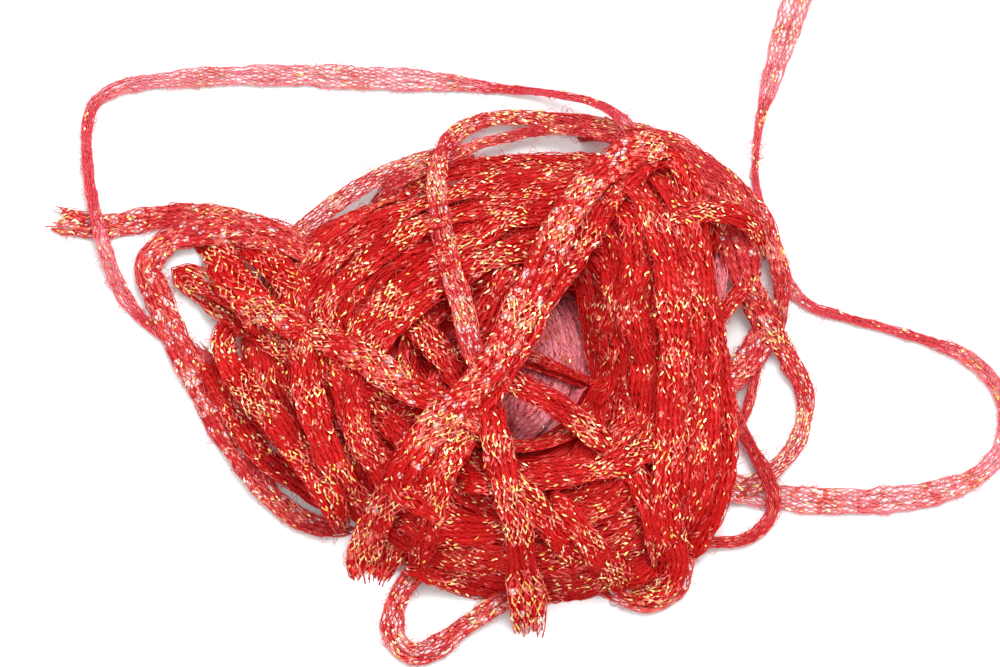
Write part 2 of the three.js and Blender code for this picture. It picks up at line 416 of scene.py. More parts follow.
def film_flecks(rng, lay, yarn_points, glint):
    """Short strips of film lying along the yarns, most of them where the length glitters."""
    # Flecks gather where a length's glint is set high, so their pale gold is placed as painted glints.
    flecks = rng.poisson(FLECKS_A_MM * glint * lay.spread.mean() * lay.run)
    root = rng.choice(lay.rows - 1, flecks, p=lay.glitter[1:] / lay.glitter[1:].sum())
    on_yarn = rng.integers(0, YARNS, flecks)
    start, end = yarn_points[on_yarn, root], yarn_points[on_yarn, root + 1]
    heading = unit(end - start)
    out = lay.out[root]
    lift = out * rng.uniform(*FLECK_LIFT, (flecks, 1))
    middle = start + (end - start) * rng.random((flecks, 1)) + lift
    twist = rng.normal(0, FLECK_TWIST, (flecks, 1))
    side = unit(np.cross(heading, out) * np.cos(twist) + out * np.sin(twist))
    reach = rng.uniform(*FLECK_REACH, flecks)
    width = rng.uniform(*FLECK_WIDTH, flecks)
    looks = np.where(rng.random(flecks) < GOLD_SHARE, GOLD, ROSE)
    return strips(middle, heading, side, reach, width, looks)


LOOP_POINTS = 6
LOOP_END_ROWS = 3  # last rows of a length, at which no loop starts
LOOP_SPAN = (0.8, 3.6)
LOOP_REACH = 0.75
LEAST_LOOP = 0.25
LONGEST_LOOP = 2.4
LOOP_LEAN = 0.5
LOOP_ROUNDNESS = 0.8
LOOP_ROOT = 0.95  # share of the half width at which a loop leaves the net
LOOP_SKEW = 0.01  # keeps a yarn that stands straight up from losing its side
LOOP_ROSE = 0.3
HAIR_THICKNESS = 0.15


def edge_loops(rng, lay, hairs):
    """Small slack loops of the finest yarn that stand out along both edges, so many hairs a mm."""
    loops = rng.poisson(hairs * lay.run)
    bend = np.linspace(0, 1, LOOP_POINTS)
    root = rng.integers(0, lay.rows - LOOP_END_ROWS, loops)
    hand = rng.choice([-1.0, 1.0], loops)
    span = rng.uniform(*LOOP_SPAN, loops)
    reach = np.minimum(rng.exponential(LOOP_REACH, loops) + LEAST_LOOP, LONGEST_LOOP)
    lean = rng.normal(0, LOOP_LEAN, loops)
    arch = np.sin(math.pi * bend) ** LOOP_ROUNDNESS
    stand = hand[:, None] * (lay.half_width[root][:, None] * LOOP_ROOT + reach[:, None] * arch)
    points = (
        lay.centre[root][:, None]
        + lay.across[root][:, None] * stand[..., None]
        + lay.along[root][:, None] * (span[:, None] * bend)[..., None]
        + lay.out[root][:, None] * (lean[:, None] * reach[:, None] * arch)[..., None]
    )
    fine = np.full(points.shape[:2], HAIR_THICKNESS / 2)
    looks = np.where(rng.random((loops, 1)) < LOOP_ROSE, ROSE, RED)
    looks = np.repeat(looks, LOOP_POINTS - 1, axis=1)
    return tubes(points, lay.out[root][:, None] + LOOP_SKEW, fine, fine, looks)


BUNCHING = 0.2  # share of the full width over which yarns go from open to closed up


def net_braid(rng, route, roll, glint, blush, pale, hairs, slack=0.1, bunched_below=0.0):
    """A length of the braid along a route of [x, y, z, spread] rows, as sets of tubes and strips."""
    lay = braid_lay(rng, route, roll, slack)
    bunched = np.clip((bunched_below - lay.spread[1:]) / BUNCHING, 0, 1)
    strands = backing_strands(rng, lay, (pale + np.zeros(lay.rows))[1:], bunched)
    yarn_points, yarns = net_yarns(rng, lay, blush, bunched)
    return [strands, yarns, film_flecks(rng, lay, yarn_points, glint), edge_loops(rng, lay, hairs)]


CELL_MARGIN = 0.1  # share of a bake cell left free on each side of its face


def braid_piece(name, sets, yarn, stands_for, bunched_yarn=None):
    """A piece of the part from sets of tubes, with a bake map that gives every face a cell of its own."""
    starts = np.cumsum([0] + [len(each["vertices"]) for each in sets])
    vertices = np.concatenate([each["vertices"] for each in sets])
    vertices[:, 2] = np.maximum(vertices[:, 2], TABLE_CLEARANCE)
    quads = np.concatenate([each["walls"] + start for each, start in zip(sets, starts)])
    ends = np.concatenate([each["ends"] + start for each, start in zip(sets, starts)])
    slots = np.concatenate([each["wall_looks"] for each in sets] + [each["end_looks"] for each in sets])
    corners = np.concatenate([quads.ravel(), ends.ravel()])
    sizes = np.concatenate([np.full(len(quads), 4), np.full(len(ends), TUBE_SIDES)])
    mesh = bpy.data.meshes.new(name)
    mesh.vertices.add(len(vertices))
    mesh.vertices.foreach_set("co", (vertices * MM).astype(np.float32).ravel())
    mesh.loops.add(len(corners))
    mesh.loops.foreach_set("vertex_index", corners.astype(np.int32))
    mesh.polygons.add(len(sizes))
    mesh.polygons.foreach_set("loop_start", np.concatenate([[0], np.cumsum(sizes)[:-1]]).astype(np.int32))
    mesh.polygons.foreach_set("material_index", slots.astype(np.int32))
    mesh.polygons.foreach_set("use_smooth", slots != GOLD)
    mesh.update(calc_edges=True)

    cell = np.empty(len(sizes), int)
    cell[np.argsort(slots, kind="stable")] = np.arange(len(sizes))
    cells_a_side = math.ceil(math.sqrt(len(sizes)))
    low, high = CELL_MARGIN, 1 - CELL_MARGIN
    square = np.tile([[low, low], [high, low], [high, high], [low, high]], (len(quads), 1))
    triangle = np.tile([[low, low], [high, low], [0.5, high]], (len(ends), 1))
    cell_corner = np.repeat(np.stack([cell % cells_a_side, cell // cells_a_side], axis=1), sizes, axis=0)
    bake_map = mesh.uv_layers.new(name="OFBake")
    bake_places = (cell_corner + np.concatenate([square, triangle])) / cells_a_side
    bake_map.data.foreach_set("uv", bake_places.astype(np.float32).ravel())
    mesh.validate()
    for material in filter(None, (yarn, rose_nylon, gold_film, painted_pale_filament, bunched_yarn)):
        mesh.materials.append(material)
    piece = bpy.data.objects.new(name, mesh)
    bpy.context.scene.collection.objects.link(piece)
    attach(piece, "root")
    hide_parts(stands_for)
    return piece


# Each place on a route is [x, y, z, share of the full width]; "leaves" is the one where it leaves the hank.
FREE_LENGTHS = [
    {"node": "left_end", "leaves": -1, "far_end": "bare", "yarn": lapped_nylon,
     "glint": 0.5, "blush": 0.3, "pale": 0.6, "route": [
        [-135.5, 30.6, 1, 1], [-130, 29.6, 1, 1], [-124, 28.7, 1, 1], [-118, 29, 1, 0.95],
        [-112, 30.4, 1, 0.9], [-106, 31.5, 1, 0.9], [-100, 31.8, 1, 0.95], [-95, 31.5, 1.2, 1],
        [-90, 30.6, 1.8, 1], [-86, 29.6, 2.6, 1], [-82, 28.4, 3.4, 1], [-78, 26.8, 4.3, 1],
        [-74, 25, 5.2, 1], [-70, 23, 6, 1], [-66, 21, 6.4, 1],
    ]},
    {"node": "top_loop", "leaves": 0, "far_end": "object", "yarn": single_nylon,
     "glint": 0.15, "blush": 0.2, "pale": 1, "route": [
        [31, 50, 10, 0.7], [25, 59, 10, 0.55], [17, 65.4, 6, 0.4], [5.4, 69.3, 3, 0.4],
        [-9, 71.7, 1, 0.5], [-23.4, 73.6, 1, 0.7], [-38, 74.6, 1, 0.9], [-52, 75.2, 1, 0.9],
        [-67, 75.8, 1, 0.9], [-81, 75.9, 1, 0.8], [-96, 75.2, 1, 0.75], [-110, 73.8, 1, 0.7],
        [-120.6, 71, 1, 0.65], [-126, 66.6, 1, 0.55], [-127.6, 59.4, 1, 0.5], [-127.4, 50.7, 1.2, 0.5],
        [-126.3, 40.8, 2.2, 0.5], [-124, 29.4, 3.2, 0.55], [-121, 19, 2.2, 0.65], [-117, 9, 1.1, 0.65],
        [-111.6, 1.2, 0.9, 0.55], [-105.5, -4.1, 0.9, 0.5], [-98.3, -8.6, 1, 0.5], [-90, -12.4, 1, 0.5],
        [-82, -15, 1.4, 0.5],
    ]},
    {"node": "right_end", "leaves": 0, "far_end": "bare", "yarn": single_nylon,
     "glint": 0.3, "blush": 0.4, "pale": 0.9, "route": [
        [45, -48, 6, 1], [55, -51, 2, 1], [65, -53.3, 1, 0.95], [76, -54.8, 1, 0.95],
        [89.5, -55.3, 1, 0.95], [103, -54.5, 1, 0.95], [115.7, -52, 1, 0.9], [125, -47.8, 1, 0.8],
        [131.4, -41, 1, 0.7], [134, -31.7, 1, 0.65], [131.3, -20, 1, 0.65], [123.4, -11.6, 1, 0.65],
        [112.5, -6.7, 1, 0.5], [100, -2.6, 1, 0.45], [87.7, 1, 1, 0.45], [78.5, 4.6, 1, 0.5],
        [73, 10.6, 1, 0.65], [70, 18.5, 1, 0.6], [67.5, 27, 1, 0.5], [65.2, 36, 1, 0.4],
        [64.2, 45, 1, 0.35], [64.6, 54, 1, 0.35], [66.6, 65, 1, 0.5], [69.7, 76, 1, 0.8],
        [73, 87.5, 1, 0.95], [76.4, 98, 1, 1], [78.2, 103.5, 1, 1],
    ]},
]
NARROWING = 1.5  # power by which the net draws in more than its route says
FREE_HAIRS = 0.7
BUNCHED_BELOW = 0.55  # share of the full width under which the yarns of a free length close up

rng = np.random.default_rng(11)
for free in FREE_LENGTHS:
    route = laid(free["route"])
    drawn = np.column_stack([route[:, :3], route[:, 3] ** NARROWING])
    sets = net_braid(
        rng, drawn, 0, free["glint"], free["blush"], free["pale"], FREE_HAIRS, bunched_below=BUNCHED_BELOW
    )
    piece = braid_piece(free["node"] + "_net", sets, free["yarn"], free["node"], bunched_nylon)
    run = np.linalg.norm(np.diff(route[:, :3], axis=0), axis=1).sum()

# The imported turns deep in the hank
# Most of the braid lies here, round and round in a low ring, each turn pressed into the next, so that
# neither its net nor the table shows between them: a soft red body with low ridges where turns lie.
RING_CENTRE = (0.0, -16.0)
RING = [
    {"inner": 17, "packed": 48, "height": 20}, {"inner": 18, "packed": 50, "height": 21},
    {"inner": 25, "packed": 70, "height": 19}, {"inner": 21, "packed": 57, "height": 17},
    {"inner": 12, "packed": 61, "height": 18}, {"inner": 9, "packed": 76, "height": 17},
    {"inner": 8, "packed": 81, "height": 16}, {"inner": 11, "packed": 70, "height": 17},
    {"inner": 20, "packed": 66, "height": 19}, {"inner": 22, "packed": 66, "height": 21},
    {"inner": 16, "packed": 69, "height": 20}, {"inner": 14, "packed": 62, "height": 18},
]
CREST_FULLNESS = 0.48
PACKED_HEIGHT = 0.86
RIDGES = 6
RIDGE_RISE = 1.1
RIDGE_SWAY = 2
ROUND_STEPS = 200
ACROSS_STEPS = 44


def round_ring(column, angle):
    """A column of the ring's table at any angle, smoothly from row to row."""
    values = np.array([row[column] for row in RING], float)
    waves = np.fft.rfft(values) / len(values)
    waves[1:] *= 2
    waves[-1] /= 2
    order = np.arange(len(waves))
    return np.real(np.exp(1j * angle[..., None] * order) @ waves)


def packed_height(angle, radius):
    """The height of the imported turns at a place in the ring, and 0 outside them."""
    inner, packed = round_ring("inner", angle), round_ring("packed", angle)
    across = np.clip((radius - inner) / (packed - inner), 0, 1)
    arch = np.sin(math.pi * across) ** CREST_FULLNESS
    # The ridges sway in and out and lie in a spiral, as turns do.
    ridge = np.cos(2 * math.pi * (RIDGES * across + RIDGE_SWAY * np.sin(angle) + angle / math.pi / 2))
    return arch * (PACKED_HEIGHT * round_ring("height", angle) + RIDGE_RISE * ridge)


def over_ring(angle, share):
    """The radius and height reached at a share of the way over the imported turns, from the hole outwards."""
    inner, packed = round_ring("inner", angle), round_ring("packed", angle)
    radius = inner + (packed - inner) * (0.5 - 0.5 * np.cos(math.pi * share))
    return radius, packed_height(angle, radius)


def in_ring(angle, radius, z):
    """Points from their angle and radius about the ring's centre and their height."""
    return np.stack(
        [RING_CENTRE[0] + radius * np.cos(angle), RING_CENTRE[1] + radius * np.sin(angle), z], axis=-1
    )


angle, share = np.meshgrid(
    2 * math.pi * np.arange(ROUND_STEPS) / ROUND_STEPS, np.linspace(0, 1, ACROSS_STEPS + 1), indexing="ij"
)
surface = in_ring(angle, *over_ring(angle, share))
here = np.arange(ROUND_STEPS)[:, None] * (ACROSS_STEPS + 1) + np.arange(ACROSS_STEPS)
ahead = np.roll(here, -1, axis=0)
faces = np.stack([here, here + 1, ahead + 1, ahead], axis=-1).reshape(-1, 4)
rim_in, rim_out = here[:, 0], here[:, -1] + 1
under = np.stack([rim_in, np.roll(rim_in, -1), np.roll(rim_out, -1), rim_out], axis=-1)
core_mesh = bpy.data.meshes.new("hank_packed_turns")
core_mesh.from_pydata((surface * MM).reshape(-1, 3).tolist(), [], np.concatenate([faces, under]).tolist())
core_mesh.polygons.foreach_set("use_smooth", np.arange(len(core_mesh.polygons)) < len(faces))
core_mesh.materials.append(stacked_nylon)
core = bpy.data.objects.new("hank_packed_turns", core_mesh)
bpy.context.scene.collection.objects.link(core)
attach(core, "root")
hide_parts("hank")

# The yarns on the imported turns
# What shows of the deep turns through the gaps above them: single red nylon yarns that run round the ring
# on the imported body, a few of them with film in them; they are held down by the turns above.
PACKED_YARNS = 60
PACKED_YARN_THICKNESS = 0.8
PACKED_YARN_LIFT = 0.2
PACKED_SWING = 0.05
PACKED_WAVE = 0.3  # of a turn
PACKED_SHARES = (0.01, 0.99)
PACKED_GOLD = 0.03
PACKED_GOLD_OR_ROSE = 0.08

rng = np.random.default_rng(20)
angle = np.tile(2 * math.pi * np.arange(ROUND_STEPS + 1) / ROUND_STEPS, (PACKED_YARNS, 1))
swing = np.stack([wander(rng, ROUND_STEPS + 1, ROUND_STEPS * PACKED_WAVE) for _ in range(PACKED_YARNS)])
share = (np.arange(PACKED_YARNS)[:, None] + 0.5) / PACKED_YARNS + PACKED_SWING * swing
radius, height = over_ring(angle, np.clip(share, *PACKED_SHARES))
points = in_ring(angle, radius, height + PACKED_YARN_LIFT)
thick = np.full(points.shape[:2], PACKED_YARN_THICKNESS / 2)
chance = rng.random((PACKED_YARNS, ROUND_STEPS))
looks = np.select([chance < PACKED_GOLD, chance < PACKED_GOLD_OR_ROSE], [GOLD, ROSE], RED)
packed_yarns = tubes(points, [0.0, 0.0, 1.0], thick, thick, looks)
braid_piece("hank_packed_yarns", [packed_yarns], stacked_nylon, "hank")

# The wound turns of the hank
# The outer layers of the same run of braid, each turn wandering from the outside of the ring to its hole
# and lying on those before it; nothing but its own springiness holds the heap.
TURNS = 9
WOUND = [[0, 0.92], [5, 0.5], [7, 0.22], [9, 0.55]]  # turns wound, and the share of the way over the ring
SHARE_WANDER = 0.07
SHARE_WAVE = 0.55  # of a turn
SHARE_LIMITS = (0.07, 0.94)
SHARE_STEP = 0.05
TURN_LIFT = 0.9
LAYER_RISE = 2.0
LIFT_WANDER = 0.8
LIFT_WAVE = 0.3  # of a turn
LEAST_LIFT = 0.5
TURN_SPREAD = 0.9
SPREAD_WANDER = 0.25
SPREAD_WAVE = 0.25  # of a turn
TURN_ROLL = 0.2
TURN_ROLL_WAVE = 40
TURN_LOOKS = {"glint": 0.3, "blush": 0.15, "pale": 0.05, "hairs": 0.2, "slack": 0.2}

rng = np.random.default_rng(22)
steps = TURNS * ROUND_STEPS
wound = np.arange(steps) / ROUND_STEPS
angle = 2 * math.pi * wound + rng.uniform(0, 2 * math.pi)
share = np.interp(wound, *np.transpose(WOUND)) + SHARE_WANDER * wander(rng, steps, ROUND_STEPS * SHARE_WAVE)
share = np.clip(share, *SHARE_LIMITS)
lift = TURN_LIFT + np.linspace(0, LAYER_RISE, steps)
lift = np.maximum(lift + LIFT_WANDER * wander(rng, steps, ROUND_STEPS * LIFT_WAVE), LEAST_LIFT)
run, rise = np.subtract(over_ring(angle, share + SHARE_STEP), over_ring(angle, share - SHARE_STEP))
slope = np.arctan2(rise, run)
radius, height = over_ring(angle, share)
middle = in_ring(angle, radius - lift * np.sin(slope), height + lift * np.cos(slope))
spread = TURN_SPREAD + SPREAD_WANDER * wander(rng, steps, ROUND_STEPS * SPREAD_WAVE)
route = evenly(np.column_stack([middle, spread, slope]))
roll = TURN_ROLL * wander(rng, len(route), TURN_ROLL_WAVE) - route[:, 4]
half = len(route) // 2
for name, rows in (("hank_first_turns", slice(0, half + 1)), ("hank_last_turns", slice(half, None))):
    sets = net_braid(rng, route[rows], roll[rows], **TURN_LOOKS)
    braid_piece(name, sets, stacked_nylon, "hank")

# The lengths thrown across the hank
# The last turns to fall: the same braid, thrown across the ring and down its left and right sides, held
# only by the turns that the lengths lie on and by their ends, which are tucked in under other turns.
TUCKED_LENGTH = 10
TUCK_DEPTH = 5
TUCK_NARROWING = 0.4
CLEAR_OF_TURNS = 1.5
ROLL_REACH = 3
ROLL_AT_TURNS = 1.3
ROLL_FADE = 8
LENGTH_ROLL = 0.2
LENGTH_ROLL_WAVE = 30
LENGTH_HAIRS = 0.6
PLAIN_BLUSH = 0.15
PLAIN_PALE = 0.05
# Each place in "through" is [x, y, z]; "spread" and "pale" are one share or several, evenly along a length.
# A length's pale share sets its strands painted lighter as painted light, blush its painted rose sheen, and
# glint its gold flecks placed as painted glints.
MAIN_LENGTHS = {
    "diagonal": {"spread": 1.2, "glint": 1.1, "blush": 0.4, "pale": (0.5, 0.5, 0.35, 0.25),
     "through": [
        [44, 52, 9], [30, 45, 18], [19, 36, 21], [11, 25, 22.5], [3, 7, 23.5], [-5, -11, 24.5],
        [-13, -26, 25], [-24, -38, 24], [-34, -50, 22], [-38, -57, 18.5], [-43, -64, 12], [-46, -69, 6],
        [-48, -74, 2.5], [-48, -78, 1.3],
    ]},
    "diagonal_beside": {"spread": 1.1, "glint": 0.8, "blush": 0.2, "pale": 0.1, "through": [
        [39, 50, 11], [30, 40, 18], [22, 30, 20], [14, 16, 21], [6, 3, 22], [-1, -10, 23], [-8, -24, 24],
        [-17, -38, 23.5], [-24, -50, 22.5], [-30, -61, 19], [-35, -66, 11.5], [-39, -70, 5],
        [-42, -75, 2.2], [-43, -78, 1.3],
    ]},
    "hoop_tail": {"spread": (1, 1, 1.5), "glint": 1.3, "blush": 0.3, "pale": (0.05, 0.05, 0.5),
     "through": [
        [-12, -31, 24], [-10, -46, 24.2], [-7, -61, 23.8], [-4, -71, 20.5], [-3, -78, 14], [-2, -84, 9],
        [-1, -89, 6.5], [-1, -94, 5],
    ]},
    "left_fold": {"spread": (1.1, 1.1, 0.8, 0.8, 1.1), "glint": 1.2, "blush": 0.35,
     "pale": (0.4, 0.4, 0.4, 0.2, 0.1), "through": [
        [-8, -45, 23], [-16, -39, 23.5], [-26, -34, 23], [-35, -29, 21.8], [-48, -19, 19.5], [-59, -12, 17],
        [-71, -5, 13.5], [-82, 2, 9], [-92, 9, 4], [-97, 13, 2.8], [-100, 13, 2.4], [-97, 10, 2.2],
        [-90, 4, 3], [-79, -5, 7], [-68, -14, 12], [-54, -23, 16], [-37, -35, 19],
    ]},
    "left_inner": {"spread": (0.8, 0.9, 1, 1), "glint": 1.3, "through": [
        [-74, -9, 8], [-78, -4, 7], [-83, -3, 5], [-87, -6, 4], [-87, -11, 4.5], [-84, -18, 6],
        [-80, -25, 8], [-74, -32, 10], [-68, -41, 12], [-62, -50, 13.5], [-57, -58, 13], [-53, -64, 9],
    ]},
    "left_fill": {"spread": (0.9, 1.5, 1.4), "glint": 0.9, "through": [
        [-95, 25, 1.5], [-90, 20, 4], [-86, 12, 7], [-82, 6, 9], [-77, -2, 11], [-72, -9, 13],
    ]},
    "left_fill_beside": {"spread": (0.9, 1.1, 1.1), "glint": 0.8, "through": [
        [-86, 28, 2], [-79, 20, 6], [-73, 13, 9], [-67, 5, 12], [-64, -4, 14],
    ]},
    "left_upright": {"spread": 1, "glint": 0.9, "through": [
        [-70, 11, 10], [-67, -6, 14], [-64, -22, 16], [-60, -39, 17], [-55, -51, 15.5], [-50, -59, 9],
    ]},
    "left_foot": {"spread": (0.8, 0.9), "glint": 0.5, "blush": 0.25, "through": [
        [-95, -9, 2.4], [-90.5, -17, 2.4], [-86, -26, 2.6], [-80.5, -36, 3], [-74, -44, 3], [-66, -50, 3.5],
        [-59, -55, 4], [-51, -60, 5],
    ]},
    "left_mid": {"spread": 0.9, "glint": 0.9, "through": [
        [-84, -18, 5], [-79, -27, 6], [-73, -35, 7], [-67, -43, 8], [-61, -50, 8], [-54, -57, 7],
    ]},
    "inner_arc": {"spread": (1.1, 1), "glint": 0.8, "through": [
        [25, 41, 18], [32, 30, 19], [37, 15, 20.5], [39, -3, 21.5], [40, -18, 21.5], [39, -33, 21],
        [38, -48, 20.5], [37, -60, 18.5], [38, -70, 13.5], [39, -77, 6], [36, -82, 2.5], [29, -83, 1.8],
        [20, -82, 1.8],
    ]},
    "inner_arc_beside": {"spread": 1, "glint": 0.6, "through": [
        [30, 37, 17], [38, 25, 18], [43, 10, 18.5], [45, -8, 19], [45, -26, 18.5], [44, -44, 18],
        [43, -59, 15.5], [41, -69, 10], [40, -74, 4], [36, -78, 2],
    ]},
    "lower_cross": {"spread": 0.9, "glint": 1.5, "through": [
        [-13, -49, 23.5], [-8, -55, 23.2], [-2, -61, 23], [4, -69, 21.2], [11, -76, 16], [17, -80, 7.5],
        [20, -82, 3], [23, -83, 2],
    ]},
}


def height_at(places):
    """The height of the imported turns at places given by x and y."""
    x, y = places[..., 0] - RING_CENTRE[0], places[..., 1] - RING_CENTRE[1]
    return packed_height(np.arctan2(y, x), np.hypot(x, y))


def flat_roll(route):
    """The roll that lays a route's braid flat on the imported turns, less the higher it runs above them."""
    heading = unit(np.gradient(route[:, :2], axis=0))
    reach = ROLL_REACH * np.stack([-heading[:, 1], heading[:, 0]], axis=1)
    slope = (height_at(route[:, :2] + reach) - height_at(route[:, :2] - reach)) / (2 * ROLL_REACH)
    air = route[:, 2] - height_at(route[:, :2])
    return np.arctan(slope) * np.clip(ROLL_AT_TURNS - air / ROLL_FADE, 0, 1)


def lay_lengths(rng, name, lengths, yarn):
    """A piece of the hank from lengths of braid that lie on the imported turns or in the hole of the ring."""
    sets = []
    for length in lengths.values():
        share = np.linspace(0, 1, len(length["through"]))
        spread, pale = (
            np.interp(share, np.linspace(0, 1, np.size(values)), np.atleast_1d(values))
            for values in (length["spread"], length.get("pale", PLAIN_PALE))
        )
        route = laid(np.column_stack([length["through"], spread, pale]))
        if not length.get("in_hole"):
            route[:, 2] = np.maximum(route[:, 2], height_at(route) + CLEAR_OF_TURNS)
        tuck = near_end(len(route), TUCKED_LENGTH)
        route[:, 2] -= TUCK_DEPTH * tuck
        route[:, 3] *= 1 - TUCK_NARROWING * tuck
        roll = flat_roll(route) + LENGTH_ROLL * wander(rng, len(route), LENGTH_ROLL_WAVE)
        blush = length.get("blush", PLAIN_BLUSH)
        sets += net_braid(rng, route, roll, length["glint"], blush, route[:, 4], LENGTH_HAIRS)
    braid_piece(name, sets, yarn, "hank")


rng = np.random.default_rng(31)
lay_lengths(rng, "hank_main_lengths", MAIN_LENGTHS, stacked_nylon)

# The lengths at the back and left of the hank
# Turns of the same braid that run round the ring's back and left side, pressed on the wound turns and
# tucked in under the lengths thrown across.
LEFT_LENGTHS = {
    "arc_second": {"spread": (0.7, 0.8), "glint": 0.5, "blush": 0.25, "through": [
        [24, 48, 9], [16, 47, 8], [8, 46, 8], [-9, 45, 7], [-23, 43, 7], [-34, 38, 7], [-45, 32, 7],
        [-55, 24, 8], [-63, 16, 9], [-68, 7, 10], [-69, -6, 11.5],
    ]},
    "crest_streak": {"spread": 0.9, "glint": 1.2, "through": [
        [30, 36, 17], [19, 32, 17.5], [5, 25, 18.5], [-6, 24, 19], [-16, 17, 19.5], [-26, 11, 19.5],
        [-35, 4, 19], [-43, -4, 18], [-50, -13, 17], [-54, -23, 16],
    ]},
    "upper_arc": {"spread": 0.9, "glint": 0.7, "blush": 0.2, "through": [
        [19, 42, 14], [4, 39, 14.5], [-12, 36, 15], [-26, 32, 15], [-38, 27, 14.5], [-49, 20, 14],
        [-58, 11, 13.5], [-64, 1, 13.5], [-66, -10, 14],
    ]},
    "upper_arc_beside": {"spread": 0.9, "glint": 1.1, "blush": 0.2, "through": [
        [16, 37, 16], [-1, 32, 17], [-16, 27, 17.5], [-29, 23, 17.5], [-40, 16, 17], [-50, 8, 16.5],
        [-58, -1, 16], [-61, -13, 16], [-62, -26, 16.5],
    ]},
    "inner_upper_arc": {"spread": 0.9, "glint": 0.9, "blush": 0.2, "through": [
        [8, 16, 19], [-6, 13, 19.5], [-18, 8, 20], [-29, 0, 20], [-38, -8, 19.5], [-45, -17, 18.5],
        [-49, -29, 17.5], [-49, -41, 17], [-48, -53, 15.5],
    ]},
    "left_lower": {"spread": (0.9, 1), "glint": 0.6, "through": [
        [-57, 0, 15], [-55, -16, 16.5], [-52, -31, 17], [-48, -43, 17.5], [-41, -53, 18], [-31, -62, 19],
        [-20, -68, 20],
    ]},
    "diagonal_lower": {"spread": 0.9, "glint": 1.2, "through": [
        [-15, -37, 23.5], [-20, -46, 23], [-24, -54, 22], [-27, -63, 19.5], [-30, -72, 14], [-33, -77, 7],
    ]},
    "centre_left": {"spread": 1, "glint": 0.8, "through": [
        [-45, 1, 17], [-34, -7, 18], [-26, -17, 18.5], [-18, -28, 19], [-12, -39, 20],
    ]},
    "centre_left_cross": {"spread": 1, "glint": 0.4, "through": [
        [-1, 15, 18], [-9, 2, 18], [-16, -11, 17.5], [-23, -23, 17.5], [-32, -33, 18], [-44, -40, 17.5],
    ]},
}
lay_lengths(rng, "hank_left_lengths", LEFT_LENGTHS, stacked_nylon)

# The lengths at the right and front of the hank
# Turns of the same braid that run down the ring's right side, round its hole and along its front, laid on
# the wound turns and tucked in at their ends.
RIGHT_LENGTHS = {
    "right_outer_vertical": {"spread": 0.9, "glint": 0.2, "through": [
        [37, 49, 14], [44, 39, 15], [46, 29, 15], [47, 18, 15], [48, 6, 14.5], [51, -9, 14],
        [53, -27, 13.5], [54, -41, 12.5], [53, -54, 10.5], [48, -66, 7], [40, -75, 4],
    ]},
    "right_mid": {"spread": 0.9, "glint": 0.3, "through": [
        [33, 42, 16], [41, 29, 17.5], [46, 14, 17.5], [48, -4, 17.5], [49, -22, 17.5], [49, -40, 17],
        [47, -58, 14.5], [43, -69, 10],
    ]},
    "hole_right": {"spread": 0.8, "glint": 0.3, "through": [
        [16, 37, 17], [22, 25, 17.5], [25, 11, 17], [27, -7, 16.5], [28, -25, 16.5], [27, -40, 17.5],
        [21, -52, 18.5], [11, -60, 19],
    ]},
    "hole_right_beside": {"spread": 0.9, "glint": 0.4, "through": [
        [20, 35, 18], [27, 22, 19], [31, 6, 19], [32, -13, 19], [33, -30, 18.5], [30, -46, 19],
        [22, -57, 19.5], [9, -64, 20],
    ]},
    "corner_fill": {"spread": (1, 1.1), "glint": 0.4, "blush": 0.25, "through": [
        [20, 47, 11], [30, 46, 12], [38, 43, 13], [45, 37, 13], [49, 28, 13], [50, 17, 13],
    ]},
    "corner_streak": {"spread": 0.8, "glint": 1.2, "through": [
        [30, 22, 19], [37, 25, 18.5], [45, 26, 17.5], [54, 27, 15.5], [62, 25, 12], [66, 18, 7],
    ]},
    "right_bridge": {"spread": 0.6, "glint": 0.4, "through": [
        [64, 15, 5], [60, 8, 6], [56, 2, 7.5], [51, -6, 10], [48, -13, 12],
    ]},
    "hole_wall": {"spread": 0.7, "glint": 0.1, "through": [
        [12, 19, 14], [15, 4, 12], [17, -10, 11], [19, -26, 11.5], [17, -41, 14], [10, -52, 16.5],
    ]},
    "hole_wall_top": {"spread": 0.8, "glint": 0.2, "through": [
        [15, 25, 16], [19, 11, 15.5], [22, -5, 14.5], [24, -23, 14.5], [21, -40, 16], [13, -52, 17.5],
    ]},
    "hole_lower": {"spread": 0.9, "glint": 1.2, "through": [
        [-17, -21, 22], [-9, -25, 22], [-4, -28, 21.5], [4, -32, 21], [13, -39, 20.5], [22, -47, 20],
        [30, -56, 19.5], [34, -67, 17], [35, -76, 11],
    ]},
    "lower_inner_arc": {"spread": 0.9, "glint": 1, "through": [
        [39, -38, 20], [33, -46, 20.5], [25, -51, 21], [11, -55, 21.5], [-1, -57, 22], [-12, -58, 22],
        [-23, -55, 20.5],
    ]},
    "lower_arc": {"spread": 0.9, "glint": 0.5, "through": [
        [47, -48, 13], [39, -59, 15.5], [26, -63, 17], [12, -67, 18], [-1, -69, 18], [-15, -70, 17],
        [-29, -69, 15.5], [-40, -63, 13.5],
    ]},
    "lower_outer_arc": {"spread": 1, "glint": 0.3, "through": [
        [45, -58, 10], [37, -66, 12], [27, -73, 12], [13, -76, 12], [-1, -77, 12], [-15, -77, 11],
        [-27, -74, 10], [-37, -68, 9],
    ]},
    "lower_fan": {"spread": 0.9, "glint": 1, "through": [
        [2, -60, 22.5], [10, -67, 21.5], [17, -75, 17], [24, -80, 8.5], [27, -82, 3], [30, -83, 2.2],
    ]},
    "bottom_arc": {"spread": 0.9, "glint": 0.5, "through": [
        [-36, -75, 8], [-26, -79, 5], [-13, -81.5, 3], [-1, -83, 2.4], [12, -82.5, 2.6], [22, -80, 4],
        [31, -78, 7], [37, -71, 10],
    ]},
}
lay_lengths(rng, "hank_right_lengths", RIGHT_LENGTHS, stacked_nylon)

